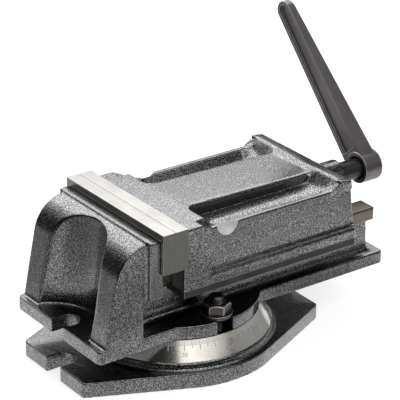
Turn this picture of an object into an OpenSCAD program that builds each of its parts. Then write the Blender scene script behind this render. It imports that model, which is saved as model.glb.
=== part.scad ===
// Machine vise on a graduated swivel base, in millimetres, with the jaws closed.
// X runs from the fixed jaw to the crank and Z is up.
// The origin is where the swivel axis meets the machine table.

/* [Swivel base] */
// Thickness of the base plate and its ears
base_plate_t = 12.2; // [10:0.1:16]
// Radius of the round middle of the base plate
base_disc_r = 81; // [79:0.5:90]
// Reach of each ear from the swivel axis
base_ear_reach = 108.3; // [104:0.1:125]
// Width of each ear at its end
base_ear_w = 82; // [60:0.5:100]
// Radius of the ear corners
base_corner_r = 4; // [2:0.5:9]
// Width of the hold-down slot in each ear
base_slot_w = 18; // [12:0.5:22]
// Depth of the hold-down slot, from the end of the ear to its round bottom
base_slot_depth = 18.3; // [14:0.1:22]
// Overall height of the base
base_h = 31.4; // [29:0.1:40]
// Radius of the painted shoulder under the degree ring
shoulder_r = 75.5; // [74.5:0.1:78]
// Height of the painted shoulder above the plate
shoulder_h = 5; // [3:0.1:7]
// Radius of the degree ring at its lower edge
ring_low_r = 74; // [72:0.1:74.4]
// Radius of the degree ring at its upper edge
ring_top_r = 64.4; // [63.5:0.1:68]
// Diameter of the pivot pin
pivot_d = 30; // [20:0.5:40]
// Length of the pivot pin above the base
pivot_rise = 9; // [6:0.5:10]

/* [Swivel clamp] */
// Radius of the circle that carries the two clamp bolts
bolt_circle_r = 53.5; // [52.5:0.1:55]
// Diameter of the clamp bolts
bolt_d = 12; // [8:0.5:13]
// Width of the square bolt heads
bolt_head_w = 18; // [15:0.5:18.5]
// Height of the bolt heads
bolt_head_h = 8; // [5:0.5:8.5]
// Thickness of the lip of the ring slot over the bolt heads
slot_lip_t = 10; // [9:0.5:12]
// Length of bolt that stands above the clamp nut
bolt_stand = 5; // [1:0.5:6]
// Width of the clamp nuts across flats
nut_af = 19; // [17:0.5:21]
// Height of the clamp nuts
nut_h = 8; // [6:0.5:10]
// Angle at which the clamp nuts stand, in degrees
nut_turn = 24; // [0:1:60]
// Diameter of the washers
washer_d = 24; // [22:0.5:26]
// Thickness of the washers
washer_t = 2.5; // [1.5:0.1:4]

/* [Body] */
// Thickness of the body's flange
flange_t = 10.7; // [9.5:0.1:15]
// Radius of the flange round the swivel axis
flange_r = 65.5; // [64.5:0.1:72]
// Reach of the flange in front of the swivel axis
front_reach = 104; // [101:0.5:115]
// Width of the flange and the fixed jaw in front
front_w = 109; // [95:0.5:116]
// Reach of the flange behind the swivel axis
rear_reach = 170; // [166:0.5:190]
// Width of the flange behind
rear_w = 86; // [84:0.5:96]
// Radius of the flange's corners
flange_corner_r = 3; // [1:0.5:6]
// Width of the hold-down slots in the flange
flange_slot_w = 16; // [10:0.5:20]
// Depth of the hold-down slots in the flange
flange_slot_depth = 18; // [12:0.5:24]
// Depth of the milled notch for the zero mark on the flange's rim
index_depth = 1.6; // [1:0.1:2]
// Width of that notch
index_w = 19; // [12:0.5:24]
// Height of the rim left above that notch
index_lip = 2; // [1:0.1:4]
// Height of the ways above the flange
bed_h = 39.2; // [36:0.1:50]
// Reach of the ways behind the swivel axis
rail_reach = 160; // [156:0.5:165]
// Width over both ways
rail_w = 82.6; // [79:0.1:90]
// Thickness of the ways
rail_t = 10.4; // [8:0.1:12]
// Width of the web under the ways
web_w = 66; // [63:0.5:68]
// Spread of the web on each side at its foot
web_flare = 2; // [0.5:0.1:3]
// Radius of the fillet at the foot of the web
web_fillet_r = 6; // [2:0.5:7]
// Width of the open channel between the ways
channel_w = 50; // [46:0.5:52]
// Thickness of the floor of the channel above the flange
channel_floor_t = 5; // [2:0.5:10]

/* [Fixed jaw] */
// Distance from the swivel axis to the plane where the jaws meet
jaw_offset = 43.2; // [40:0.1:45]
// Thickness of the slab behind the fixed jaw plate
slab_t = 8.7; // [7:0.1:10]
// Width of that slab
slab_w = 118; // [114:0.5:124]
// Depth of the slab's top below the top of the jaw plates
slab_drop = 5.4; // [3:0.1:8]
// Height of the slab's lower edge above the underside of the ways
slab_rise = 1.2; // [0.5:0.1:4]
// Set-back of the fixed jaw's foot behind the slab
foot_set_back = 2.4; // [0.5:0.1:4]
// Width of the ledge that the fixed jaw plate stands on
seat_w = 2; // [1:0.1:4]
// Spread of that ledge's front face down to its lower edge
seat_flare = 2; // [0:0.1:3]
// Step from the slab's top down to the sloping shoulder
shoulder_step = 1.3; // [0.8:0.1:3]
// Slope of the shoulder, in degrees
shoulder_slope = 9.5; // [6:0.1:14]
// Distance from the swivel axis to the foot of the fixed jaw's front face
front_foot = 98.5; // [96:0.5:100]
// Lean of the front face, in degrees
front_lean = 11; // [8:0.1:12]
// Radius between the front face and the shoulder
front_round_r = 28.5; // [20:0.5:30]
// Radius of the upright recess in the front face
recess_r = 36; // [30:0.5:38]
// Distance from the swivel axis to the recess's axis, at the flange
recess_offset = 110; // [108:0.5:113]
// Lean of the recess, in degrees
recess_lean = 4.9; // [3:0.1:6]

/* [Jaw plates] */
// Width of the jaw plates
plate_w = 125; // [120:0.5:140]
// Height of the jaw plates
plate_h = 31.5; // [28:0.1:36]
// Thickness of each jaw plate
plate_t = 11; // [10.5:0.1:12]
// Height of the plates' lower edge above the ways
plate_lift = 10.3; // [8:0.1:12]
// Distance between the two screws of a plate
plate_screw_span = 76; // [60:1:84]
// Diameter of the plate screws
plate_screw_d = 8; // [6:0.5:8]
// Depth of the plate screws' heads below the jaw faces
screw_sink = 1; // [0.5:0.1:1.5]

/* [Moving jaw] */
// Travel of the moving jaw
jaw_travel = 100; // [70:1:104]
// Length of the moving jaw at the top of its rear wall
jaw_l = 156.7; // [153:0.1:164]
// Width of the head and of the lower band
jaw_w = 116; // [112:0.5:120]
// Lean of the rear face over its height
rear_lean = 3.7; // [0.5:0.1:5]
// Length of the head
head_l = 24.4; // [20:0.1:28]
// Depth of the head's top below the top of the jaw plates
head_drop = 3.6; // [1:0.1:6]
// Inset of the side panels at the ledge
ledge_inset = 2.7; // [1:0.1:4]
// Inset of the side panels at the rim
rim_inset = 4.7; // [3:0.1:7]
// Depth of the rims below the head's top
rim_drop = 6.8; // [4:0.1:9]
// Width of the rims
rim_w = 3.8; // [2.5:0.1:6]
// Depth of the pockets below the head's top
pocket_depth = 10.3; // [9.5:0.1:11]
// Radius of the pockets' corners
pocket_r = 7; // [3:0.5:9]
// Width of the level part of the pockets' floor, beside the spine
pocket_flat = 11; // [8:0.5:16]
// Height of the inner face of the rims, above the sloping part of the floor
rim_lip = 0.6; // [0.4:0.1:1.5]
// Rise of the ramp at the rear end of the pockets
ramp_h = 6; // [3:0.5:8]
// Width of the spine between the pockets
spine_w = 49; // [46:0.5:54]
// Fall of the spine's top towards the rear wall
spine_fall = 2.4; // [0.5:0.1:4]
// Thickness of the rear wall at its top
wall_t = 11; // [9:0.1:13]
// Depth of the rear wall's top below the head's top
wall_drop = 1.7; // [0.5:0.1:4]
// Fall of the rear wall's top towards its back
wall_fall = 1.8; // [0.5:0.1:3]
// Length of the slope from the spine up to the rear wall
step_l = 4.5; // [3:0.1:7]
// Width of the rear wall
wall_w = 110; // [106:0.5:111]
// Radius of the gussets between the rear wall and the rims
gusset_r = 8; // [4:0.5:10]
// Height of the groove along each side, under the ledge
groove_h = 1.7; // [1:0.1:3]
// Depth of that groove
groove_d = 1.5; // [0.5:0.1:3]
// Distance from the ledge down to that groove
groove_drop = 1.6; // [1:0.1:4]
// Radius of the scoop at the front of each rim
scoop_r = 11.5; // [8:0.5:12.5]
// Distance from the head's back to the middle of that scoop
scoop_offset = 16.8; // [14:0.1:24]
// Thickness of the wall in front of the screw
nose_wall = 12.2; // [11:0.1:14]
// Radius of the tunnel round the screw
tunnel_r = 18; // [17:0.1:19]

/* [Keepers] */
// Thickness of the keeper plates
keeper_t = 5.4; // [4.5:0.1:6.5]
// Number of screws in each keeper
keeper_screw_count = 4; // [3:1:6]
// Diameter of the keeper screws
keeper_screw_d = 6; // [4:0.5:6]

/* [Screw] */
// Height of the screw's axis above the ways
screw_lift = 13.9; // [13.5:0.1:15]
// Outer diameter of the thread
screw_d = 20; // [18:0.5:22]
// Pitch of the thread
screw_pitch = 4; // [3:0.5:5]
// Depth of the thread
thread_depth = 2.1; // [1.5:0.1:2.4]
// Diameter of the screw's rear journal
journal_d = 16; // [15:0.5:18]
// Outer radius of the boss on the rear wall
boss_r = 12; // [11:0.5:13]
// Length of the boss behind the rear wall
boss_l = 30.5; // [20:0.1:34]
// Width over the flats of the screw's square end
square_w = 11; // [9:0.5:11]
// Outer radius of the retaining collar
collar_r = 14; // [12:0.5:15]
// Thickness of the retaining collar
collar_t = 8; // [6:0.5:9]
// Diameter of the collar's cross pin
collar_pin_d = 4; // [3:0.5:5]
// Diameter of the thrust pad
pad_d = 20; // [16:0.5:24]
// Thickness of the thrust pad
pad_t = 3; // [2:0.5:5]

/* [Lead nut] */
// Width of the nut's upright
nut_post_w = 31; // [28:0.5:32]
// Height of the nut's foot
nut_foot_h = 14; // [12:0.5:14.5]
// Depth of the nut's seat below the ways
nut_seat_drop = 5.6; // [4:0.1:8]
// Diameter of the nut's screws
nut_screw_d = 6; // [5:0.5:6]

/* [Crank] */
// Gap between the boss and the crank's hub
hub_gap = 21; // [12:0.5:30]
// Radius of the hub
hub_r = 12.5; // [11.5:0.1:15]
// Length of the hub
hub_l = 16.7; // [15:0.1:22]
// Distance from the screw's axis to the round end of the arm
arm_l = 141; // [110:1:170]
// Angle of the arm above the horizontal, in degrees
arm_angle = 46; // [0:1:90]
// Half-width of the arm at the hub
arm_root_r = 11.5; // [9.5:0.1:12]
// Half-width of the arm at its end
arm_tip_r = 8.2; // [6:0.1:9]
// Thickness of the arm at the hub
arm_root_t = 13; // [10:0.1:14]
// Thickness of the arm at its end
arm_tip_t = 6.5; // [5:0.1:8]
// Width of the rim round the long panel in the arm
panel_rim = 3; // [2:0.1:4]
// Depth of the long panel in the arm
panel_depth = 2.4; // [0.8:0.1:3]

/* [Hidden] */
$fn = 64;

// Overshoot of every cut past the face it opens
over = 2;
// Depth by which a straight side lies inside a round that it joins, so that it crosses it cleanly
seam = 0.05;
// Angle by which a round runs on into the faces beside it
sector_lap = 8;
// Gap between the base and the flange that turns on it
swivel_gap = 0.3;
// Radial play of a turning fit
turn_play = 0.05;
// Radial play round a fixed screw or pin
screw_play = 0.1;
// Play between the moving jaw and the top of the ways
way_play = 0.15;
// Play between the moving jaw and the sides of the ways
side_play = 0.4;
// Play between the keepers and the underside of the ways
keeper_play = 0.5;
// Gap between the two closed jaw plates
jaw_gap = 0.1;
// Running gap at the ends of turning pieces
end_play = 0.3;
// Clear space round pieces that pass through a casting
room = 1.4;

cast_paint = [0.30, 0.31, 0.32];
ground_steel = [0.72, 0.72, 0.70];
dark_steel = [0.22, 0.22, 0.23];
bronze = [0.66, 0.50, 0.28];

// Levels, from the table upwards
pivot_floor = base_plate_t / 2;
flange_z = base_h + swivel_gap;
flange_top = flange_z + flange_t;
rail_top = flange_top + bed_h;
rail_low = rail_top - rail_t;
plate_low = rail_top + plate_lift;
plate_top = plate_low + plate_h;
plate_mid = (plate_low + plate_top) / 2;
slab_top = plate_top - slab_drop;
slab_low = rail_low + slab_rise;
head_top = plate_top - head_drop;
rim_top = head_top - rim_drop;
pocket_floor = head_top - pocket_depth;
wall_top = head_top - wall_drop;
wall_peak = wall_top + wall_fall;
spine_rear = head_top - spine_fall;
ledge_z = rail_top + way_play;
skirt_low = rail_low - keeper_play;
keeper_low = skirt_low - keeper_t;
screw_z = rail_top + screw_lift;
nut_seat = rail_top - nut_seat_drop;
nut_foot_top = nut_seat + nut_foot_h;

// Stations along X
contact_x = -jaw_offset;
fixed_back = contact_x - plate_t;
moving_front = contact_x + plate_t;
slab_back = fixed_back - slab_t;
head_back = moving_front + head_l;
rear_x = moving_front + jaw_l;
tunnel_front = moving_front + nose_wall;
tunnel_back = rear_x - wall_t;
boss_end = rear_x + boss_l;
hub_front = boss_end + hub_gap;
collar_front = tunnel_back - end_play - collar_t;
nut_front = tunnel_front + jaw_travel + room;
nut_back = collar_front - room;

// Side panels and rims of the moving jaw
panel_low_hw = jaw_w / 2 - ledge_inset;
rim_hw = jaw_w / 2 - rim_inset;
keeper_inner = web_w / 2 + web_flare;
keeper_mid = (rail_w / 2 + side_play + jaw_w / 2) / 2;
tunnel_low_hw = channel_w / 2 + room;

// Cap screws: head, socket and counterbore follow the thread's diameter
function cap_d(d) = 1.6 * d;
function cap_h(d) = d;
function low_cap_h(d) = 0.55 * d;

// A cap screw along -Z with its head's top at the origin
module cap_screw(d, head_h, l) {
    socket_af = 0.75 * d;
    difference() {
        union() {
            translate([0, 0, -head_h]) cylinder(d = cap_d(d), h = head_h);
            translate([0, 0, -head_h - l]) cylinder(d = d, h = l);
        }
        translate([0, 0, -head_h * 0.55]) cylinder(d = socket_af / cos(30), h = head_h, $fn = 6);
    }
}

// The hole for a cap screw, with a counterbore for its head
module cap_screw_hole(d, head_h, l) {
    translate([0, 0, -head_h - screw_play])
        cylinder(r = cap_d(d) / 2 + 3 * screw_play, h = head_h + screw_play + over);
    translate([0, 0, -head_h - l - screw_play])
        cylinder(r = d / 2 + screw_play, h = l + 2 * screw_play);
}

// An open slot along +X with a round bottom at the origin's side
module open_slot(w, depth) {
    translate([-depth + w / 2, 0]) circle(d = w);
    translate([-depth + w / 2, -w / 2]) square([depth - w / 2 + over, w]);
}

module mirror_y() {
    children();
    mirror([0, 1, 0]) children();
}

// A rectangle with rounded corners
module rounded_rect(x0, x1, w, r) {
    translate([x0 + r, -w / 2]) square([x1 - x0 - 2 * r, w]);
    translate([x0, -w / 2 + r]) square([x1 - x0, w - 2 * r]);
    for (x = [x0 + r, x1 - r], y = [-w / 2 + r, w / 2 - r])
        translate([x, y]) circle(r = r);
}

// Extrudes a Y-Z outline along +X
module along_x(x0, x1) {
    translate([x0, 0, 0]) rotate([90, 0, 90]) linear_extrude(x1 - x0) children();
}

// Extrudes an X-Z outline to both sides of the vise's middle
module across_y(w) {
    translate([0, w / 2, 0]) rotate([90, 0, 0]) linear_extrude(w) children();
}

// A block given by its X range, its full width and its Z range
module block(x0, x1, w, z0, z1) {
    translate([x0, -w / 2, z0]) cube([x1 - x0, w, z1 - z0]);
}

// A cylinder along +X on the screw's axis
module on_screw(x0, x1, r) {
    translate([x0, 0, screw_z]) rotate([0, 90, 0]) cylinder(r = r, h = x1 - x0);
}

// Outline of the base plate: a disc with two ears, joined by tangent lines
module base_outline() {
    ear = [base_ear_reach - base_corner_r, base_ear_w / 2 - base_corner_r];
    lean = atan2(ear.y, ear.x) + acos((base_disc_r - base_corner_r) / norm(ear));
    side = [cos(lean), sin(lean)];
    quarter = [(base_disc_r - seam) * side, ear + (base_corner_r - seam) * side,
        ear + [base_corner_r, 0], ear, [0, 0]];
    circle(r = base_disc_r);
    for (sx = [-1, 1], sy = [-1, 1]) {
        translate([sx * ear.x, sy * ear.y]) circle(r = base_corner_r);
        polygon([for (p = quarter) [sx * p.x, sy * p.y]]);
    }
    translate([-base_ear_reach, -ear.y]) square([2 * base_ear_reach, 2 * ear.y]);
}

module swivel_base() {
    shoulder_z = base_plate_t + shoulder_h;
    slot_ceiling = base_h - slot_lip_t;
    slot_floor = slot_ceiling - bolt_head_h - 2 * end_play;
    neck_hw = bolt_d / 2 + 0.5;
    cavity_hw = bolt_head_w / 2 + room;
    color(cast_paint)
    difference() {
        union() {
            linear_extrude(base_plate_t) difference() {
                base_outline();
                for (turn = [0, 180])
                    rotate(turn) translate([base_ear_reach, 0]) open_slot(base_slot_w, base_slot_depth);
            }
            rotate_extrude() polygon([[0, 0], [shoulder_r + 1.5, 0], [shoulder_r + 1.5, base_plate_t],
                [shoulder_r, base_plate_t + 1.5], [shoulder_r, shoulder_z - 0.8],
                [shoulder_r - 0.8, shoulder_z], [ring_low_r, shoulder_z], [ring_top_r, base_h], [0, base_h]]);
        }
        rotate_extrude() {
            translate([bolt_circle_r - neck_hw, slot_floor])
                square([2 * neck_hw, base_h - slot_floor + over]);
            translate([bolt_circle_r - cavity_hw, slot_floor])
                square([2 * cavity_hw, slot_ceiling - slot_floor]);
        }
        // Window in the underside, where the bolt heads go into the ring slot
        translate([bolt_circle_r - cavity_hw, -cavity_hw, -over])
            cube([2 * cavity_hw, 2 * cavity_hw, slot_floor + 2 * over]);
        translate([0, 0, pivot_floor]) cylinder(d = pivot_d, h = base_h);
    }
}

module pivot_pin() {
    color(ground_steel)
    translate([0, 0, pivot_floor]) cylinder(d = pivot_d, h = base_h - pivot_floor + pivot_rise);
}

// Cross-section of the bed: web, fillets and ways, with the channel open between the ways
module bed_section() {
    foot_hw = web_w / 2 + web_flare;
    difference() {
        union() {
            polygon([[-foot_hw, flange_top - over], [-foot_hw, flange_top], [-web_w / 2, rail_low],
                [-web_w / 2, rail_top], [web_w / 2, rail_top], [web_w / 2, rail_low],
                [foot_hw, flange_top], [foot_hw, flange_top - over]]);
            translate([-rail_w / 2, rail_low]) square([rail_w, rail_t]);
            mirror([1, 0]) web_fillet(foot_hw);
            web_fillet(foot_hw);
        }
        translate([-channel_w / 2, flange_top + channel_floor_t]) square([channel_w, bed_h]);
    }
}

module web_fillet(x) {
    difference() {
        translate([x - over, flange_top - over]) square([web_fillet_r + over, web_fillet_r + over]);
        translate([x + web_fillet_r, flange_top + web_fillet_r]) circle(r = web_fillet_r);
        translate([x + web_fillet_r, flange_top]) square([over, web_fillet_r + over]);
    }
}

// Part of a disc between two angles that lie less than 180 degrees apart
module sector(r, from, to) {
    function at(angle) = 2 * r * [cos(angle), sin(angle)];
    intersection() {
        circle(r = r);
        polygon([[0, 0], at(from), at((from + to) / 2), at(to)]);
    }
}

// Side view of the fixed jaw: a leaning front, a round and a sloping shoulder
module fixed_jaw_outline() {
    rise = slab_top - shoulder_step - flange_top;
    run = front_foot + slab_back;
    lean_t = tan(front_lean);
    slope_t = tan(shoulder_slope);
    corner_z = (rise - run * slope_t) / (1 - lean_t * slope_t);
    corner = [corner_z * lean_t - front_foot, corner_z + flange_top];
    bend = 90 - front_lean - shoulder_slope;
    back_off = front_round_r * tan(bend / 2);
    low = corner - back_off * [sin(front_lean), cos(front_lean)] + seam * [cos(front_lean), -sin(front_lean)];
    high = corner + back_off * [cos(shoulder_slope), sin(shoulder_slope)]
        + seam * [sin(shoulder_slope), -cos(shoulder_slope)];
    centre = low + (front_round_r - seam) * [cos(front_lean), -sin(front_lean)];
    polygon([[-front_foot, flange_top - over], [-front_foot, flange_top], low, centre, high,
        [slab_back, slab_top - shoulder_step], [slab_back + over, slab_top - shoulder_step],
        [slab_back + over, slab_low], [slab_back - foot_set_back, slab_low],
        [slab_back - foot_set_back, flange_top - over]]);
    translate(centre) sector(front_round_r, 90 + shoulder_slope - sector_lap, 180 - front_lean + sector_lap);
}

module flange_outline() {
    difference() {
        union() {
            circle(r = flange_r);
            rounded_rect(-front_reach, 0, front_w, flange_corner_r);
            rounded_rect(0, rear_reach, rear_w, flange_corner_r);
            translate([-flange_r / 2, -rear_w / 2]) square([flange_r, rear_w]);
        }
        for (turn = [-90, 90])
            rotate(turn) translate([flange_r, 0])
                open_slot(bolt_d + 2, flange_r - bolt_circle_r + bolt_d / 2 + 1);
    }
}

module vise_body() {
    color(cast_paint)
    difference() {
        union() {
            translate([0, 0, flange_z]) linear_extrude(flange_t) flange_outline();
            along_x(slab_back - foot_set_back - over, rail_reach) bed_section();
            // Bridge across the channel that carries the lead nut
            block(nut_front - 6, nut_back + 6, channel_w + 2 * over, nut_seat - 16, nut_seat);
            difference() {
                across_y(front_w) fixed_jaw_outline();
                translate([-recess_offset, 0, flange_top]) rotate([0, recess_lean, 0])
                    cylinder(r = recess_r, h = plate_top);
            }
            block(slab_back, fixed_back, slab_w, slab_low, slab_top);
            across_y(slab_w) polygon([[slab_back, slab_low], [slab_back, plate_low],
                [fixed_back + seat_w, plate_low], [fixed_back + seat_w + seat_flare, slab_low]]);
        }
        translate([0, 0, flange_z - over]) cylinder(r = pivot_d / 2 + turn_play, h = pivot_rise + over + 1);
        // Hold-down slots, through the flange and the channel's floor
        translate([0, 0, flange_z - over]) linear_extrude(flange_t + channel_floor_t + 2 * over) {
            translate([rear_reach, 0]) open_slot(flange_slot_w, flange_slot_depth);
            rotate(180) translate([front_reach, 0]) open_slot(flange_slot_w, flange_slot_depth);
        }
        rotate(-52) translate([flange_r - index_depth, -index_w / 2, flange_z - over])
            cube([index_depth + over, index_w, flange_t - index_lip + over]);
        for (turn = [-90, 90])
            rotate(turn) translate([bolt_circle_r, 0, flange_top])
                cylinder(r = washer_d / 2 + 0.5, h = web_fillet_r + 2 * washer_t);
        for (y = [-1, 1]) {
            translate([contact_x - screw_sink, y * plate_screw_span / 2, plate_mid])
                rotate([0, 90, 0]) plate_screw_hole();
            translate([(nut_front + nut_back) / 2, y * nut_screw_y(), nut_foot_top])
                nut_screw_hole();
        }
    }
}

// Hole of one plate screw, from the jaw face along the screw
module plate_screw_hole() {
    cap_screw_hole(plate_screw_d, cap_h(plate_screw_d), plate_t);
}

module plate_screw() {
    cap_screw(plate_screw_d, cap_h(plate_screw_d), plate_t);
}

module fixed_jaw_plate() {
    color(ground_steel)
    difference() {
        block(fixed_back, contact_x - jaw_gap / 2, plate_w, plate_low, plate_top);
        for (y = [-1, 1])
            translate([contact_x - screw_sink, y * plate_screw_span / 2, plate_mid])
                rotate([0, 90, 0]) plate_screw_hole();
    }
}

module fixed_plate_screws() {
    color(dark_steel)
    for (y = [-1, 1])
        translate([contact_x - screw_sink, y * plate_screw_span / 2, plate_mid])
            rotate([0, 90, 0]) plate_screw();
}

module swivel_bolts() {
    head_top_z = base_h - slot_lip_t - end_play;
    top = flange_top + washer_t + nut_h + bolt_stand;
    color(dark_steel)
    for (y = [-1, 1]) translate([0, y * bolt_circle_r, 0]) {
        translate([-bolt_head_w / 2, -bolt_head_w / 2, head_top_z - bolt_head_h])
            cube([bolt_head_w, bolt_head_w, bolt_head_h]);
        translate([0, 0, head_top_z - 1]) cylinder(d = bolt_d, h = top - head_top_z);
        translate([0, 0, top - 1]) cylinder(d1 = bolt_d, d2 = bolt_d - 2, h = 1);
    }
}

module swivel_washers() {
    color(dark_steel)
    for (y = [-1, 1]) translate([0, y * bolt_circle_r, flange_top]) difference() {
        cylinder(d = washer_d, h = washer_t);
        translate([0, 0, -over]) cylinder(d = bolt_d + 1, h = washer_t + 2 * over);
    }
}

// A hexagon nut, with its corners turned down at the top
module swivel_nut(y) {
    color(dark_steel)
    translate([0, y, flange_top + washer_t]) rotate(nut_turn) difference() {
        intersection() {
            cylinder(d = nut_af / cos(30), h = nut_h, $fn = 6);
            union() {
                cylinder(d = nut_af * 1.2, h = nut_h - 1.6);
                translate([0, 0, nut_h - 1.6]) cylinder(d1 = nut_af * 1.2, d2 = nut_af * 0.95, h = 1.6);
            }
        }
        translate([0, 0, -over]) cylinder(r = bolt_d / 2 + turn_play, h = nut_h + 2 * over);
    }
}

module swivel_nut_near() {
    swivel_nut(-bolt_circle_r);
}

module swivel_nut_far() {
    swivel_nut(bolt_circle_r);
}

function nut_screw_y() = (nut_post_w / 2 + channel_w / 2 - 0.5) / 2;

module nut_screw_hole() {
    cap_screw_hole(nut_screw_d, cap_h(nut_screw_d), nut_foot_h + 4);
}

module lead_nut() {
    color(bronze)
    difference() {
        union() {
            block(nut_front, nut_back, channel_w - 1, nut_seat, nut_foot_top);
            block(nut_front, nut_back, nut_post_w, nut_seat, screw_z);
            on_screw(nut_front, nut_back, nut_post_w / 2);
        }
        on_screw(nut_front - over, nut_back + over, screw_d / 2 + end_play);
        for (y = [-1, 1])
            translate([(nut_front + nut_back) / 2, y * nut_screw_y(), nut_foot_top]) nut_screw_hole();
    }
}

module nut_screws() {
    color(dark_steel)
    for (y = [-1, 1])
        translate([(nut_front + nut_back) / 2, y * nut_screw_y(), nut_foot_top])
            cap_screw(nut_screw_d, cap_h(nut_screw_d), nut_foot_h + 3);
}

// Plan of one pocket beside the spine
module pocket_plan() {
    inner = spine_w / 2;
    outer = rim_hw - rim_w;
    translate([0, (inner + outer) / 2])
        rounded_rect(head_back, tunnel_back, outer - inner, pocket_r);
}

// One pocket: its floor rises to the rim on the outside and up a ramp at the rear
module pocket() {
    inner = spine_w / 2;
    outer = rim_hw - rim_w;
    high = head_top + over;
    intersection() {
        translate([0, 0, pocket_floor]) linear_extrude(high - pocket_floor) pocket_plan();
        along_x(head_back - over, tunnel_back + over)
            polygon([[inner - over, pocket_floor], [inner + pocket_flat, pocket_floor],
                [outer, rim_top - rim_lip], [outer + over, rim_top - rim_lip], [outer + over, high],
                [inner - over, high]]);
        translate([0, inner + outer, 0]) across_y(2 * (inner + outer))
            polygon([[head_back - over, pocket_floor], [tunnel_back - ramp_h, pocket_floor],
                [tunnel_back, pocket_floor + ramp_h], [tunnel_back + over, pocket_floor + ramp_h],
                [tunnel_back + over, high], [head_back - over, high]]);
    }
}

// Concave round that fills the corner at the origin, towards +X and +Y
module corner_fillet(r) {
    difference() {
        translate([-0.5, -0.5]) square(r + 0.5);
        translate([r, r]) circle(r = r);
    }
}

// Rounds of one pocket: head to spine, spine to rear wall, and rear wall to rim
module jaw_fillets() {
    low = rim_top - over;
    translate([head_back, spine_w / 2, low])
        linear_extrude(head_top - low) corner_fillet(pocket_r);
    translate([tunnel_back, spine_w / 2, low]) mirror([1, 0, 0])
        linear_extrude(spine_rear - low) corner_fillet(pocket_r);
    translate([tunnel_back, rim_hw, low]) mirror([1, 0, 0]) mirror([0, 1, 0])
        linear_extrude(wall_top - low) corner_fillet(gusset_r);
}

module moving_jaw() {
    color(cast_paint)
    difference() {
        union() {
            difference() {
                union() {
                    block(moving_front, rear_x + rear_lean, jaw_w, skirt_low, ledge_z);
                    along_x(head_back - over, rear_x + rear_lean)
                        polygon([[-panel_low_hw, ledge_z - over], [-panel_low_hw, ledge_z],
                            [-rim_hw, rim_top], [rim_hw, rim_top], [panel_low_hw, ledge_z],
                            [panel_low_hw, ledge_z - over]]);
                    block(moving_front, head_back, jaw_w, skirt_low, head_top);
                    across_y(spine_w) polygon([[moving_front, ledge_z], [moving_front, head_top],
                        [head_back, head_top], [tunnel_back - step_l, spine_rear],
                        [tunnel_back, wall_peak - rim_lip], [tunnel_back + over, wall_peak - rim_lip],
                        [tunnel_back + over, ledge_z]]);
                    across_y(wall_w) polygon([[tunnel_back, rim_top - over], [tunnel_back, wall_peak],
                        [rear_x, wall_top], [rear_x + rear_lean, wall_top],
                        [rear_x + rear_lean, rim_top - over]]);
                    mirror_y() jaw_fillets();
                }
                mirror_y() pocket();
                // Slope at the back of each end of the head, down to the scoop
                mirror_y() translate([0, jaw_w / 2 + over, 0]) rotate([90, 0, 0])
                    linear_extrude(rim_inset + rim_w + over + 1.5)
                        polygon([[head_back - 9, head_top], [head_back + 8, rim_top],
                            [head_back + 8, head_top + over], [head_back - 9, head_top + over]]);
                mirror_y()
                    translate([head_back - over, jaw_w / 2 - groove_d, ledge_z - groove_drop - groove_h])
                    cube([jaw_l, groove_d + over, groove_h]);
                mirror_y() translate([head_back + scoop_offset, rim_hw + 0.6 * scoop_r, rim_top + 0.1 * scoop_r])
                    sphere(r = scoop_r);
                // Lean of the rear face
                across_y(jaw_w + 2 * over) polygon([[rear_x + rear_lean, skirt_low], [rear_x, wall_top],
                    [rear_x, head_top], [rear_x + rear_lean + over, head_top],
                    [rear_x + rear_lean + over, skirt_low]]);
            }
            on_screw(tunnel_back, boss_end, boss_r);
        }
        // Room for the ways, the lead nut and the screw
        block(moving_front - over, rear_x + rear_lean + over, rail_w + 2 * side_play,
            skirt_low - over, ledge_z);
        block(tunnel_front, tunnel_back, 2 * tunnel_low_hw, ledge_z - over, nut_foot_top + room);
        block(tunnel_front, tunnel_back, 2 * tunnel_r, ledge_z - over, screw_z);
        on_screw(tunnel_front, tunnel_back, tunnel_r);
        on_screw(tunnel_front - pad_t, tunnel_front + over, pad_d / 2 + screw_play);
        on_screw(tunnel_back - over, boss_end + over, journal_d / 2 + turn_play);
        for (y = [-1, 1]) {
            translate([contact_x + screw_sink, y * plate_screw_span / 2, plate_mid])
                rotate([0, -90, 0]) plate_screw_hole();
            for (x = keeper_screw_x())
                translate([x, y * keeper_mid, keeper_low]) mirror([0, 0, 1]) keeper_screw_hole();
        }
    }
}

module moving_jaw_plate() {
    color(ground_steel)
    difference() {
        block(contact_x + jaw_gap / 2, moving_front, plate_w, plate_low, plate_top);
        for (y = [-1, 1])
            translate([contact_x + screw_sink, y * plate_screw_span / 2, plate_mid])
                rotate([0, -90, 0]) plate_screw_hole();
    }
}

module moving_plate_screws() {
    color(dark_steel)
    for (y = [-1, 1])
        translate([contact_x + screw_sink, y * plate_screw_span / 2, plate_mid])
            rotate([0, -90, 0]) plate_screw();
}

function keeper_screw_x() = let (first = moving_front + 10, last = rear_x - 8)
    [for (i = [0 : keeper_screw_count - 1]) first + i * (last - first) / (keeper_screw_count - 1)];

module keeper_screw_hole() {
    cap_screw_hole(keeper_screw_d, low_cap_h(keeper_screw_d), keeper_t + 4);
}

module keeper(side) {
    color(dark_steel)
    difference() {
        translate([moving_front, side > 0 ? keeper_inner : 0.4 - jaw_w / 2, keeper_low])
            cube([rear_x + rear_lean - moving_front - 0.5, jaw_w / 2 - 0.4 - keeper_inner, keeper_t]);
        for (x = keeper_screw_x())
            translate([x, side * keeper_mid, keeper_low]) mirror([0, 0, 1]) keeper_screw_hole();
    }
}

module keeper_near() {
    keeper(-1);
}

module keeper_far() {
    keeper(1);
}

module keeper_screws() {
    color(dark_steel)
    for (y = [-1, 1], x = keeper_screw_x())
        translate([x, y * keeper_mid, keeper_low]) mirror([0, 0, 1])
            cap_screw(keeper_screw_d, low_cap_h(keeper_screw_d), keeper_t + 3);
}

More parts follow.
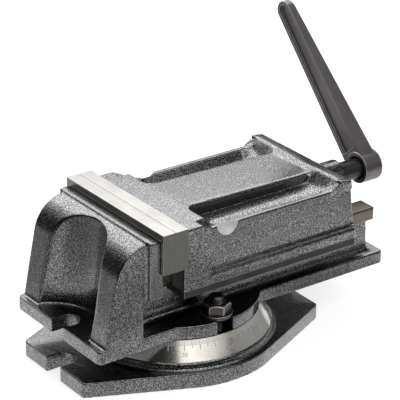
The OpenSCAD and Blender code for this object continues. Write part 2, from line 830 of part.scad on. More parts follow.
module thrust_pad() {
    color(ground_steel)
    on_screw(tunnel_front - pad_t, tunnel_front, pad_d / 2);
}

// A right-hand trapezoidal thread along +Z that runs out to the root at both ends
module thread(d, depth, pitch, l) {
    sides = 16;
    root_r = d / 2 - depth;
    steps = floor((l / pitch - 2) * sides);
    shape = [[0, 0], [0.25, 1], [0.5, 1], [0.75, 0]];
    rows = len(shape);
    function fade(m) = max(0, min(1, m / sides - 1, (steps - m) / sides));
    function point(m, p) = let (r = root_r + depth * fade(m) * shape[p][1], a = 360 * m / sides)
        [r * cos(a), r * sin(a), pitch * (m / sides + shape[p][0])];
    function id(m, p) = m * rows + p;
    body = [for (m = [0 : steps], p = [0 : rows - 1]) point(m, p)];
    foot = len(body);
    crown = foot + sides;
    turn_end = steps - sides + 1;
    low_ring = [for (j = [0 : sides - 1]) let (a = 360 * j / sides)
        [root_r * cos(a), root_r * sin(a), -pitch / 2]];
    high_ring = [for (j = [0 : sides - 1]) let (a = 360 * (turn_end + j) / sides)
        [root_r * cos(a), root_r * sin(a), l - pitch / 2]];
    strip = [for (m = [0 : steps - 1], p = [0 : rows - 2])
        each [[id(m, p), id(m, p + 1), id(m + 1, p)], [id(m + 1, p), id(m, p + 1), id(m + 1, p + 1)]]];
    seam = [for (m = [0 : steps - sides - 1])
        each [[id(m, rows - 1), id(m + sides, 0), id(m + 1, rows - 1)],
              [id(m + 1, rows - 1), id(m + sides, 0), id(m + sides + 1, 0)]]];
    low_wall = [for (j = [0 : sides - 2])
        each [[foot + j, id(j, 0), foot + j + 1], [foot + j + 1, id(j, 0), id(j + 1, 0)]]];
    low_seam = [[foot + sides - 1, id(sides - 1, 0), foot], [foot, id(sides - 1, 0), id(0, 0)],
        for (p = [0 : rows - 2]) [id(0, p), id(sides - 1, 0), id(0, p + 1)],
        [id(0, rows - 1), id(sides - 1, 0), id(sides, 0)]];
    last = rows - 1;
    high_wall = [for (j = [0 : sides - 2]) let (m = turn_end + j)
        each [[id(m, last), crown + j, id(m + 1, last)], [id(m + 1, last), crown + j, crown + j + 1]]];
    high_seam = [[crown + sides - 1, crown, id(turn_end, last)],
        [id(steps, last), crown + sides - 1, id(turn_end, last)],
        for (p = [0 : rows - 2]) [id(steps, p), id(steps, p + 1), id(turn_end, last)],
        [id(steps - sides, last), id(steps, 0), id(turn_end, last)]];
    caps = [[for (j = [0 : sides - 1]) foot + j], [for (j = [sides - 1 : -1 : 0]) crown + j]];
    translate([0, 0, pitch / 2])
        polyhedron(concat(body, low_ring, high_ring),
            concat(strip, seam, low_wall, low_seam, high_wall, high_seam, caps));
}

module lead_screw() {
    neck_r = screw_d / 2 - thread_depth - 0.6;
    thread_start = tunnel_front + 5;
    thread_end = collar_front - 2;
    square_start = hub_front + hub_counterbore_l() - 0.5;
    color(dark_steel)
    difference() {
        union() {
            on_screw(tunnel_front + end_play, thread_start, neck_r);
            translate([thread_start, 0, screw_z]) rotate([0, 90, 0])
                thread(screw_d, thread_depth, screw_pitch, thread_end - thread_start);
            on_screw(thread_end, collar_front, neck_r);
            on_screw(collar_front, square_start, journal_d / 2);
            translate([square_start, 0, screw_z]) arm_turn()
                translate([0, -square_w / 2, -square_w / 2])
                    cube([hub_l - hub_counterbore_l() - 0.7, square_w, square_w]);
        }
        collar_pin_hole();
    }
}

module collar_pin_hole() {
    translate([collar_front + collar_t / 2, 0, screw_z - collar_r - over])
        cylinder(r = collar_pin_d / 2 + screw_play, h = 2 * (collar_r + over));
}

module retaining_collar() {
    color(ground_steel)
    difference() {
        on_screw(collar_front, collar_front + collar_t, collar_r);
        on_screw(collar_front - over, tunnel_back + over, journal_d / 2 + screw_play);
        collar_pin_hole();
    }
}

module collar_pin() {
    color(ground_steel)
    translate([collar_front + collar_t / 2, 0, screw_z - collar_r + 1])
        cylinder(d = collar_pin_d, h = 2 * collar_r - 2);
}

function hub_counterbore_l() = hub_l * 0.3;

// Turns a shape about the screw's axis so that +Y points along the crank's arm
module arm_turn() {
    rotate([arm_angle, 0, 0]) children();
}

// Outline of the long panel in the arm, from the tip towards the hub
module panel_outline() {
    tip = arm_tip_r - panel_rim;
    root = arm_root_r - panel_rim;
    corner_r = panel_rim / 2;
    start = hub_r + panel_rim + corner_r;
    hull() {
        translate([arm_l, 0]) circle(r = tip, $fn = 32);
        for (side = [-1, 1]) translate([start, side * (root - corner_r)]) circle(r = corner_r, $fn = 24);
    }
}

module crank_handle() {
    face = hub_front + 1;
    color(dark_steel)
    difference() {
        union() {
            on_screw(hub_front, hub_front + hub_l, hub_r);
            translate([face, 0, screw_z]) arm_turn() rotate([90, 0, 90]) hull() {
                cylinder(r = arm_root_r, h = arm_root_t, $fn = 48);
                translate([arm_l, 0, 0]) cylinder(r = arm_tip_r, h = arm_tip_t, $fn = 48);
            }
        }
        translate([face - over, 0, screw_z]) arm_turn() rotate([90, 0, 90])
            linear_extrude(panel_depth + over) panel_outline();
        on_screw(hub_front - over, hub_front + hub_counterbore_l(), journal_d / 2 + 1.5);
        translate([hub_front, 0, screw_z]) arm_turn()
            translate([0, -square_w / 2 - screw_play, -square_w / 2 - screw_play])
                cube([hub_l + over, square_w + 2 * screw_play, square_w + 2 * screw_play]);
    }
}

swivel_base();
pivot_pin();
vise_body();
fixed_jaw_plate();
fixed_plate_screws();
swivel_bolts();
swivel_washers();
swivel_nut_near();
swivel_nut_far();
lead_nut();
nut_screws();
moving_jaw();
moving_jaw_plate();
moving_plate_screws();
keeper_near();
keeper_far();
keeper_screws();
thrust_pad();
lead_screw();
retaining_collar();
collar_pin();
crank_handle();
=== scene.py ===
"""Looks of the swivel machine vise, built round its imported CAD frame. All lengths are in metres."""

import math

import bmesh
import bpy
import numpy as np
from mathutils import Matrix, Vector
from mathutils.bvhtree import BVHTree
from mathutils.kdtree import KDTree


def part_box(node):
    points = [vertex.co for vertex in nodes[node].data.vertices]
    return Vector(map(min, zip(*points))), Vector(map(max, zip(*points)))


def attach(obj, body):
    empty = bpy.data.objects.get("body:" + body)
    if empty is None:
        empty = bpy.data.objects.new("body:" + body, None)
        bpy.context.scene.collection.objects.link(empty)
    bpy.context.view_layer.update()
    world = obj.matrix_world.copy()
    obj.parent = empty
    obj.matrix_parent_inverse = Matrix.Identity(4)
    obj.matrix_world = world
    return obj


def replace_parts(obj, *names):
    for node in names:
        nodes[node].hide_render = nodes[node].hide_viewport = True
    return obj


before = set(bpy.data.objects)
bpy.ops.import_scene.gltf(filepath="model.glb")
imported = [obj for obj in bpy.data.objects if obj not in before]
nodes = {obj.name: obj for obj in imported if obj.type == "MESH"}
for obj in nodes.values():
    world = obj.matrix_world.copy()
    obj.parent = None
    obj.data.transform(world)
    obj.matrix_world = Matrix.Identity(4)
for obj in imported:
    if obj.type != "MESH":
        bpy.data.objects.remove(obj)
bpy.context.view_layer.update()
scene = bpy.context.scene
MM = 0.001

# Levels and places that the looks share with the solids
FLANGE_TOP = 42.4 * MM
FLANGE_R = 65.5 * MM
RAIL_LOW = 71.2 * MM
RAIL_TOP = 81.6 * MM
WAY_HW = 41.4 * MM
SLAB_BACK = -62.9 * MM
POCKET_FLOOR = 109.5 * MM
RIM_TOP = 113 * MM
SCOOP_MIDDLE = Vector((9.0, 60.2, 114.15)) * MM
SCOOP_R = 11.5 * MM
BOLT_CIRCLE = 53.5 * MM
BOLT_R = 6 * MM
BOLT_HEAD_HW = 9 * MM
BOLT_HEAD_H = 8 * MM

# The degree ring: its cone's edges as radius and height, and turns in degrees from +X
RING_LOW = (74 * MM, 17.2 * MM)
RING_TOP = (64.4 * MM, 31.4 * MM)
RING_ZERO = -149
NUMBER_STEP = 30
NUMBER_DOWN = 11 * MM
NOTCH_TURN = -52
NOTCH_HALF_TURN = 9
NOTCH_DEPTH = 1.6 * MM
NOTCH_GLINT_TURN = -59

# The studio's walls: their distance from the swivel axis and their height
STUDIO_R = 2.2
STUDIO_H = 3.2

# Where most of a noise texture's values lie
NOISE_SPAN = {"From Min": 0.3, "From Max": 0.7}


def linear(text):
    """An sRGB hex colour as linear RGBA."""
    parts = [int(text[i : i + 2], 16) / 255 for i in (1, 3, 5)]
    return [c / 12.92 if c <= 0.04045 else ((c + 0.055) / 1.055) ** 2.4 for c in parts] + [1]


def feed(tree, node, inputs):
    """Gives a node's inputs their values, or links them to the sockets that feed them."""
    for key, value in inputs.items():
        if isinstance(value, bpy.types.NodeSocket):
            tree.links.new(value, node.inputs[key])
        else:
            node.inputs[key].default_value = value


def put(tree, kind, inputs=None, stops=(), **settings):
    """Adds a node: inputs are its values and links, stops a colour ramp's positions and colours, and
    settings its other attributes."""
    made = tree.nodes.new("ShaderNode" + kind)
    for _ in stops[2:]:
        made.color_ramp.elements.new(0.5)
    for index, (position, text) in enumerate(stops):
        made.color_ramp.elements[index].position = position
        made.color_ramp.elements[index].color = linear(text)
    for key, value in settings.items():
        setattr(made, key, value)
    feed(tree, made, inputs or {})
    return made


def start(name):
    """A new material: its node tree, its shader and the object's own coordinates in millimetres."""
    material = bpy.data.materials.new(name)
    material.use_nodes = True
    tree = material.node_tree
    shader = tree.nodes["Principled BSDF"]
    place = put(tree, "TexCoord").outputs["Object"]
    in_mm = put(tree, "VectorMath", {0: place, "Scale": 1 / MM}, operation="SCALE").outputs[0]
    return material, tree, shader, in_mm


def hammer_enamel(name, dark, mid, light):
    """Hammer-finish enamel, sprayed on cast iron: aluminium flake draws together into silver flecks on
    dark varnish, a millimetre or so apart, under a glossy clear skin. Broad tops shine evenly, and
    sides and hollows show the flecks."""
    material, tree, shader, in_mm = start(name)
    fleck_mm, dimple_mm, drift_mm, relief_mm = 0.72, 1.6, 30, 0.16
    noise = {"Vector": in_mm, "Scale": 1 / fleck_mm, "Detail": 0.5, "Roughness": 0.6}
    flecks = put(tree, "TexNoise", noise).outputs["Fac"]
    dimples = put(tree, "TexVoronoi", {"Vector": in_mm, "Scale": 1 / dimple_mm}, feature="SMOOTH_F1")
    drift = put(tree, "TexNoise", {"Vector": in_mm, "Scale": 1 / drift_mm, "Detail": 3.0}).outputs["Fac"]
    shade = put(tree, "ValToRGB", {"Fac": flecks}, stops=[(0.37, dark), (0.5, mid), (0.63, light)])
    tone = put(tree, "MapRange", {"Value": drift, **NOISE_SPAN, "To Min": 0.88, "To Max": 1.12})
    toned = put(tree, "VectorMath", {0: shade.outputs[0], "Scale": tone.outputs[0]}, operation="SCALE")
    gloss = put(tree, "MapRange", {"Value": flecks, **NOISE_SPAN, "To Min": 0.16, "To Max": 0.26})
    hollow = put(tree, "Math", {0: dimples.outputs["Distance"], 1: 0.35}, operation="MULTIPLY")
    relief = put(tree, "Math", {0: flecks, 1: hollow.outputs[0]}, operation="SUBTRACT")
    skin = put(tree, "Bump", {"Strength": 1.0, "Distance": relief_mm * MM, "Height": relief.outputs[0]})
    looks = {"Base Color": toned.outputs[0], "Roughness": gloss.outputs[0], "Normal": skin.outputs[0]}
    feed(tree, shader, {**looks, "Metallic": 1.0, "Coat Weight": 1.0, "Coat Roughness": 0.14})
    return material


def ground_steel(name, low, high, rough_low, rough_high, line_mm, along):
    """Surface-ground iron or steel: bare bright metal with fine straight wheel lines. The real lines
    are about 0.1 mm apart and are drawn coarser, so that they show."""
    material, tree, shader, in_mm = start(name)
    run_mm, haze_mm, depth_mm = 60, 18, 0.02
    stretch = [1 / line_mm] * 3
    stretch["XYZ".index(along)] = 1 / run_mm
    drawn = put(tree, "VectorMath", {0: in_mm, 1: stretch}, operation="MULTIPLY").outputs[0]
    noise = {"Vector": drawn, "Scale": 1.0, "Detail": 3.0, "Roughness": 0.7}
    lines = put(tree, "TexNoise", noise).outputs["Fac"]
    haze = put(tree, "TexNoise", {"Vector": in_mm, "Scale": 1 / haze_mm, "Detail": 2.0}).outputs["Fac"]
    blend = put(tree, "Math", {0: lines, 1: haze}, operation="MULTIPLY")
    shade = put(tree, "ValToRGB", {"Fac": blend.outputs[0]}, stops=[(0.1, low), (0.42, high)])
    gloss = put(tree, "MapRange", {"Value": lines, **NOISE_SPAN, "To Min": rough_low, "To Max": rough_high})
    skin = put(tree, "Bump", {"Strength": 0.25, "Distance": depth_mm * MM, "Height": lines})
    looks = {"Base Color": shade.outputs[0], "Roughness": gloss.outputs[0], "Normal": skin.outputs[0]}
    feed(tree, shader, {**looks, "Metallic": 1.0})
    return material


def turned_steel(name, low, high):
    """Lathe-turned, polished steel: bare metal with tool marks round the axis, which spread each
    reflection up and down the cone. The real marks are about 0.2 mm apart and are drawn coarser, so
    that they show."""
    material, tree, shader, in_mm = start(name)
    mark_mm, haze_mm, depth_mm = 0.45, 12, 0.008
    rise = put(tree, "SeparateXYZ", {0: in_mm}).outputs["Z"]
    noise = {"W": rise, "Scale": 1 / mark_mm, "Detail": 2.0}
    marks = put(tree, "TexNoise", noise, noise_dimensions="1D").outputs["Fac"]
    haze = put(tree, "TexNoise", {"Vector": in_mm, "Scale": 1 / haze_mm, "Detail": 3.0}).outputs["Fac"]
    shade = put(tree, "ValToRGB", {"Fac": haze}, stops=[(0.3, low), (0.7, high)])
    gloss = put(tree, "MapRange", {"Value": marks, **NOISE_SPAN, "To Min": 0.14, "To Max": 0.22})
    skin = put(tree, "Bump", {"Strength": 0.2, "Distance": depth_mm * MM, "Height": marks})
    round_axis = put(tree, "Tangent", direction_type="RADIAL", axis="Z").outputs[0]
    looks = {"Base Color": shade.outputs[0], "Roughness": gloss.outputs[0], "Normal": skin.outputs[0]}
    feed(tree, shader, {**looks, "Tangent": round_axis, "Metallic": 1.0, "Anisotropic": 0.35})
    return material


def fine_grained(name, low, high, grain_mm, rough_low, rough_high, metallic, bump_mm):
    """A fine-grained finish, such as black oxide or satin enamel: one colour that drifts a little, with
    a grain in its gloss. The real grain is about 0.1 mm and is drawn coarser, so that it shows."""
    material, tree, shader, in_mm = start(name)
    haze_mm = 15
    noise = {"Vector": in_mm, "Scale": 1 / grain_mm, "Detail": 3.0, "Roughness": 0.6}
    grain = put(tree, "TexNoise", noise).outputs["Fac"]
    haze = put(tree, "TexNoise", {"Vector": in_mm, "Scale": 1 / haze_mm, "Detail": 2.0}).outputs["Fac"]
    blend = put(tree, "Math", {0: grain, 1: haze}, operation="ADD")
    half = put(tree, "Math", {0: blend.outputs[0], 1: 0.5}, operation="MULTIPLY")
    shade = put(tree, "ValToRGB", {"Fac": half.outputs[0]}, stops=[(0.36, low), (0.64, high)])
    gloss = put(tree, "MapRange", {"Value": grain, **NOISE_SPAN, "To Min": rough_low, "To Max": rough_high})
    skin = put(tree, "Bump", {"Strength": 0.4, "Distance": bump_mm * MM, "Height": grain})
    looks = {"Base Color": shade.outputs[0], "Roughness": gloss.outputs[0], "Normal": skin.outputs[0]}
    feed(tree, shader, {**looks, "Metallic": metallic})
    return material


# Hammer enamel on the three castings: speckled dark grey, silver where a top mirrors the light
enamel = hammer_enamel("hammer_enamel_on_cast_iron", "#252627", "#4c4d4e", "#949595")
# Hardened steel, ground along the jaw: nearly white tops with faint lines
plate_steel = ground_steel("ground_hardened_steel", "#a3a19d", "#bbb9b5", 0.24, 0.34, 0.5, "Y")
# Milled steel on the plates' ends and edges: duller than the ground faces, and darker partly as painted
# shade, for the dim reflections that the ends show
plate_end_steel = ground_steel("milled_plate_ends_painted_darker", "#686764", "#7a7875", 0.34, 0.44, 0.5, "Z")
# Cast iron of the ways, ground along the travel: a warm, soft grey shine
way_steel = ground_steel("ground_way_iron", "#625c55", "#7f7971", 0.3, 0.42, 0.6, "X")
# Milled steel on the keepers and in the zero mark's notch: flat dark grey
keeper_steel = fine_grained("milled_dark_steel", "#363839", "#474949", 0.7, 0.38, 0.5, 0.8, 0.02)
# A thin pale line along each of the keepers' broken edges: painted highlight
keeper_edge_highlight = fine_grained("painted_highlights_on_keeper_edges", "#6a6c6d", "#858787", 0.7, 0.3, 0.4, 0.9, 0.02)
# Black oxide on nuts, washers, bolts and cap screws: dark, with a brownish sheen
black_oxide = fine_grained("black_oxide_on_steel", "#4a4846", "#656260", 0.5, 0.22, 0.34, 0.95, 0.02)
# Bright lines round the nuts and washers, on their broken edges: painted highlights, for the light that
# these edges catch
oxide_edge_highlight = fine_grained("painted_highlights_on_oxide_edges", "#a3a09b", "#c2bfba", 0.5, 0.28, 0.4, 0.95, 0.02)
# Oiled black steel of the lead screw: deep black with soft streaks of light
screw_black = fine_grained("oiled_black_steel", "#2b2c2d", "#4b4c4e", 0.8, 0.3, 0.45, 0.7, 0.03)
# Satin enamel on the cast crank: even grey with a trace of violet, and slightly uneven like a casting
crank_enamel = fine_grained("satin_enamel_on_cast_crank", "#6b676b", "#7d787c", 0.8, 0.34, 0.46, 0.8, 0.08)
# Pale lines along the crank's broken edges: painted highlights, for the light that its rounded edges catch
crank_edge_highlight = fine_grained("painted_highlights_on_crank_edges", "#a39da1", "#b9b3b7", 0.8, 0.34, 0.46, 0.8, 0.08)
# Machined grey iron of the lead nut: dull mid grey
nut_iron = fine_grained("machined_grey_iron", "#5d5b58", "#7d7a76", 0.9, 0.4, 0.55, 0.8, 0.03)
# Pale, nearly matt colour in the rims' scoops and on the bar at the flange's notch: painted highlight, for
# the light that these small faces catch
pale_highlight_paint = fine_grained("pale_painted_highlight", "#d6d4d0", "#e6e4e1", 0.8, 0.5, 0.6, 0.2, 0.02)
# Turned, polished steel of the degree ring: mirrors the studio in bands across the cone
ring_steel = turned_steel("turned_polished_steel", "#c9c6be", "#d9d6cf")
# Etched graduations and numbers: pale and matt, so that they show light where the ring mirrors dark
engraving = fine_grained("etched_graduations", "#b9b7b1", "#d2d0ca", 0.3, 0.6, 0.75, 0.0, 0.01)


def add_object(name, data):
    """A new object in the scene."""
    made = bpy.data.objects.new(name, data)
    scene.collection.objects.link(made)
    return made


def show(name, mesh, body, slot, *materials):
    """Puts a mesh into the scene as a piece that moves with a body."""
    mesh.name = name
    piece = add_object(name, mesh)
    for material in materials:
        mesh.materials.append(material)
    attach(piece, body)
    return piece


def solid(node, weld=0.002 * MM):
    """A node's solid as one welded bmesh."""
    welded = bmesh.new()
    welded.from_mesh(nodes[node].data)
    bmesh.ops.remove_doubles(welded, verts=welded.verts, dist=weld)
    return welded


def as_mesh(built, name):
    """A finished bmesh as a mesh."""
    mesh = bpy.data.meshes.new(name)
    built.to_mesh(mesh)
    built.free()
    return mesh


def area_normals(mesh):
    """Each vertex's normal as the mean of its faces' normals by area."""
    count = len(mesh.polygons)
    facing, area = np.empty(3 * count), np.empty(count)
    sides, corners = np.empty(count, dtype=int), np.empty(len(mesh.loops), dtype=int)
    mesh.polygons.foreach_get("normal", facing)
    mesh.polygons.foreach_get("area", area)
    mesh.polygons.foreach_get("loop_total", sides)
    mesh.loops.foreach_get("vertex_index", corners)
    weighed = np.repeat(facing.reshape(count, 3) * area[:, None], sides, axis=0)
    sums = [np.bincount(corners, weighed[:, axis], len(mesh.vertices)) for axis in range(3)]
    normals = np.stack(sums, axis=1)
    return normals / np.maximum(np.linalg.norm(normals, axis=1, keepdims=True), 1e-30)


def even_normals(mesh):
    """Smooth shading in which large flats stay flat."""
    mesh.shade_smooth()
    mesh.normals_split_custom_set_from_vertices(area_normals(mesh).tolist())


def with_modifier(mesh, kind, **settings):
    """A mesh after a modifier."""
    work = add_object("work", mesh)
    step = work.modifiers.new(kind, kind)
    for key, value in settings.items():
        setattr(step, key, value)
    made = bpy.data.meshes.new_from_object(work.evaluated_get(bpy.context.evaluated_depsgraph_get()))
    bpy.data.objects.remove(work)
    return made


def relaxed(mesh, share, passes):
    """Draws each vertex towards the middle of its neighbours, in passes: share is how far, from 0 to 1."""
    count = len(mesh.vertices)
    places = np.empty(3 * count)
    mesh.vertices.foreach_get("co", places)
    places = places.reshape(count, 3)
    ends = np.empty(2 * len(mesh.edges), dtype=int)
    mesh.edges.foreach_get("vertices", ends)
    one, other = ends[0::2], ends[1::2]
    neighbours = np.bincount(ends, minlength=count)
    pull = np.array([share(*place) for place in places]) / 2
    for _ in range(passes):
        for axis in range(3):
            along = places[:, axis]
            total = np.bincount(one, along[other], count) + np.bincount(other, along[one], count)
            places[:, axis] = along + pull * (total / neighbours - along)
    mesh.vertices.foreach_set("co", places.ravel())


def wedge(x_low, x_high, y_low, y_high, z_low, z_high, foot):
    """A filler that rises towards +X, as its eight corners and their faces. Its sizes are in mm."""
    ends = ((x_low, z_low), (x_high, z_high))
    corners = [(x, y, z) for x, top in ends for y in (y_low, y_high) for z in (foot, top)]
    faces = [(0, 1, 3, 2), (4, 6, 7, 5), (0, 4, 5, 1), (2, 3, 7, 6), (0, 2, 6, 4), (1, 5, 7, 3)]
    return [Vector(c) * MM for c in corners], faces


def cast_skin(node, grid, passes, *softer, fillers=(), carve=None):
    """A casting's mesh: the solid with the soft edges and small fillets that sand moulds leave, while
    its flats stay on the solid's own faces. Softer places have a share of rounding and its passes,
    fillers are added first, and carve gives a vertex its new height."""
    kept_faces, on_face, off_face = 0.3, 0.1 * MM, 0.35 * MM
    welded = solid(node)
    for corners, sides in fillers:
        added = [welded.verts.new(c) for c in corners]
        for side in sides:
            welded.faces.new([added[i] for i in side])
    bmesh.ops.recalc_face_normals(welded, faces=welded.faces)
    faces = BVHTree.FromBMesh(welded)
    dense = with_modifier(as_mesh(welded, node), "REMESH", mode="VOXEL", voxel_size=grid)
    for vertex in dense.vertices if carve else ():
        vertex.co.z = carve(*vertex.co)
    relaxed(dense, lambda x, y, z: 1.0, passes)
    for share, more in softer:
        relaxed(dense, share, more)
    for vertex in dense.vertices:
        spot, _, _, gap = faces.find_nearest(vertex.co)
        if gap < off_face:
            loose = max((share(*vertex.co) for share, _ in softer), default=0.0)
            vertex.co = spot.lerp(vertex.co, max(loose, (gap - on_face) / (off_face - on_face), 0.0))
    normals = area_normals(dense)
    spots = KDTree(len(dense.vertices))
    for vertex in dense.vertices:
        spots.insert(vertex.co, vertex.index)
    spots.balance()
    light = with_modifier(dense, "DECIMATE", ratio=kept_faces)
    light.shade_smooth()
    nearest = [normals[spots.find(vertex.co)[1]].tolist() for vertex in light.vertices]
    light.normals_split_custom_set_from_vertices(nearest)
    return light


def fade(value, none, full):
    """Rises from 0 at one value to 1 at another."""
    return min(1.0, max(0.0, (value - none) / (full - none)))


def edged(node, width):
    """A machined piece's mesh: the solid with its sharp edges broken. The broken edges take slot 1."""
    flat_turn, sharp_turn = math.radians(1), math.radians(50)
    welded = solid(node, 0.05 * MM)
    bmesh.ops.dissolve_limit(welded, angle_limit=flat_turn, verts=welded.verts, edges=welded.edges)
    sharp = [e for e in welded.edges if len(e.link_faces) == 2 and e.calc_face_angle() > sharp_turn]
    bmesh.ops.bevel(
        welded,
        geom=sharp,
        offset=width,
        segments=2,
        profile=0.5,
        affect="EDGES",
        clamp_overlap=False,
        material=1,
    )
    return as_mesh(welded, node)


def split_faces(mesh, rule):
    """Gives each face the material that the rule names for its middle and normal."""
    for face in mesh.polygons:
        face.material_index = rule(face.center, face.normal)


# Base casting
def bead_roll(x, y, z):
    """The bead under the degree ring is one soft round."""
    radius = math.hypot(x, y)
    return fade(radius, 73.5 * MM, 75 * MM) * fade(radius, 84 * MM, 82 * MM) * fade(z, 12.3 * MM, 13 * MM)


base_mesh = cast_skin("swivel_base", 0.75 * MM, 4, (bead_roll, 12))
base_piece = show("swivel_base_casting", base_mesh, "base", "base_casting", enamel)
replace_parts(base_piece, "swivel_base")


# Body casting
def recess_roll(x, y, z):
    """The mouth of the recess in front rolls out into the fixed jaw."""
    return (
        fade(x, -62 * MM, -70 * MM)
        * fade(abs(y), 44 * MM, 38 * MM)
        * fade(z, 47 * MM, 60 * MM)
        * fade(z, 112 * MM, 92 * MM)
    )


def web_roll(x, y, z):
    """The web runs out on the flange in a soft cove."""
    return (
        fade(x, -58 * MM, -54 * MM)
        * fade(abs(y), 66 * MM, 62 * MM)
        * fade(z, FLANGE_TOP - 0.5 * MM, FLANGE_TOP + 0.5 * MM)
        * fade(z, 68 * MM, 62 * MM)
    )


def body_finish(middle, normal):
    """0 for paint, 1 for the ground ways, 2 for the milled notch at the zero mark."""
    at_way = RAIL_LOW - 0.2 * MM < middle.z < RAIL_TOP + 0.1 * MM
    if at_way and middle.x > SLAB_BACK and abs(middle.y) < WAY_HW:
        return 1
    turn = math.degrees(math.atan2(middle.y, middle.x))
    radius = math.hypot(middle.x, middle.y)
    at_notch = abs(turn - NOTCH_TURN) < NOTCH_HALF_TURN and middle.z < FLANGE_TOP - 2 * MM
    on_notch = FLANGE_R - 4 * MM < radius < FLANGE_R - 0.8 * MM and abs(normal.z) < 0.5
    return 2 if at_notch and on_notch else 0


body_mesh = cast_skin("vise_body", 0.8 * MM, 4, (recess_roll, 40), (web_roll, 8))
split_faces(body_mesh, body_finish)
body_piece = show("vise_body_casting", body_mesh, "body", "body_casting", enamel, way_steel, keeper_steel)
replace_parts(body_piece, "vise_body")


# Moving jaw casting
def pocket_roll(x, y, z):
    """The spine's edges and the pockets' floors run into each other in soft rounds."""
    return (
        fade(x, -6 * MM, 0)
        * fade(x, 111 * MM, 107 * MM)
        * fade(abs(y), 16 * MM, 20 * MM)
        * fade(abs(y), 44 * MM, 41 * MM)
        * fade(z, 102 * MM, 104 * MM)
    )


def wall_roll(x, y, z):
    """The pockets' ends and the spine run up to the rear wall in a slope."""
    return (
        fade(x, 102 * MM, 107 * MM)
        * fade(x, 121 * MM, 117 * MM)
        * fade(abs(y), 51.5 * MM, 48.5 * MM)
        * fade(z, 102 * MM, 104 * MM)
    )


def pocket_form(x, y, z):
    """A vertex's height in the jaw's top: the pockets' floors fall away from the spine, deepest near
    the rims, and then turn up to them, and the rims rise to the rear wall in ramps."""
    aside, ramp_start, ramp_end = abs(y), 104 * MM, 113.4 * MM
    if aside > 40 * MM and ramp_start < x < ramp_end and z > RIM_TOP:
        return min(z, RIM_TOP - 0.1 * MM + 0.62 * max(0.0, x - 105.1 * MM))
    in_pocket = aside >= 24 * MM and 0 <= x <= ramp_start
    if not in_pocket or z < POCKET_FLOOR - 0.3 * MM or z > RIM_TOP + 0.2 * MM:
        return z
    fall = 1.2 * MM * fade(aside, 24 * MM, 38 * MM) + 1.9 * MM * fade(aside, 37 * MM, 43 * MM)
    level = POCKET_FLOOR - fall + 1.15 * max(0.0, aside - 43.5 * MM)
    return min(z, z + (level - z) * fade(x, 0, 6 * MM) * fade(x, ramp_start, 98 * MM))


def jaw_finish(middle, normal):
    """0 for paint, 1 for the scoops milled into the two rims, which take a pale painted highlight."""
    from_scoop = Vector((middle.x, abs(middle.y), middle.z)) - SCOOP_MIDDLE
    return int(from_scoop.length < SCOOP_R + 0.3 * MM)


ramps = [wedge(104, 114.5, y - 13, y + 13, 109, 120, 106) for y in (-36, 36)]
ramps += [wedge(105, 114.5, y - 2.7, y + 2.7, 112.6, 118, 109) for y in (-50.3, 50.3)]
jaw_soft = [(pocket_roll, 25), (wall_roll, 45)]
jaw_mesh = cast_skin("moving_jaw", 0.6 * MM, 3, *jaw_soft, fillers=ramps, carve=pocket_form)
split_faces(jaw_mesh, jaw_finish)
jaw_piece = show("moving_jaw_casting", jaw_mesh, "sliding_jaw", "jaw_casting", enamel, pale_highlight_paint)
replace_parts(jaw_piece, "moving_jaw")

# Machined pieces, with the width of their broken edges in mm. The pale edge materials of the keepers,
# washers, nuts and crank are painted highlights, and the plates' edges take their darker end steel
for node, body, slot, material, edge_finish_and_highlight, width in (
    ("fixed_jaw_plate", "body", "ground_steel", plate_steel, plate_end_steel, 0.35),
    ("moving_jaw_plate", "sliding_jaw", "ground_steel", plate_steel, plate_end_steel, 0.35),
    ("keeper_near", "sliding_jaw", "keeper_steel", keeper_steel, keeper_edge_highlight, 0.4),
    ("keeper_far", "sliding_jaw", "keeper_steel", keeper_steel, keeper_edge_highlight, 0.4),
    ("swivel_washers", "body", "black_steel", black_oxide, oxide_edge_highlight, 0.45),
    ("swivel_nut_near", "clamp_nut_near", "black_steel", black_oxide, oxide_edge_highlight, 0.5),
    ("swivel_nut_far", "clamp_nut_far", "black_steel", black_oxide, oxide_edge_highlight, 0.5),
    ("crank_handle", "crank", "crank_casting", crank_enamel, crank_edge_highlight, 0.55),
):
    mesh = edged(node, width * MM)
    if material is plate_steel:
        # The plates' ends take the darker steel: partly painted shade
        split_faces(mesh, lambda middle, normal: int(abs(normal.y) > 0.8))
    even_normals(mesh)
    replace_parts(show(node + "_finished", mesh, body, slot, material, edge_finish_and_highlight), node)

# Nodes whose solids show as they are
for node, material in (
    ("pivot_pin", plate_steel),
    ("fixed_plate_screws", black_oxide),
    ("lead_nut", nut_iron),
    ("nut_screws", black_oxide),
    ("moving_plate_screws", black_oxide),
    ("keeper_screws", black_oxide),
    ("thrust_pad", plate_steel),
    ("lead_screw", screw_black),
    ("retaining_collar", plate_steel),
    ("collar_pin", plate_steel),
):
    nodes[node].data.materials.clear()
    nodes[node].data.materials.append(material)


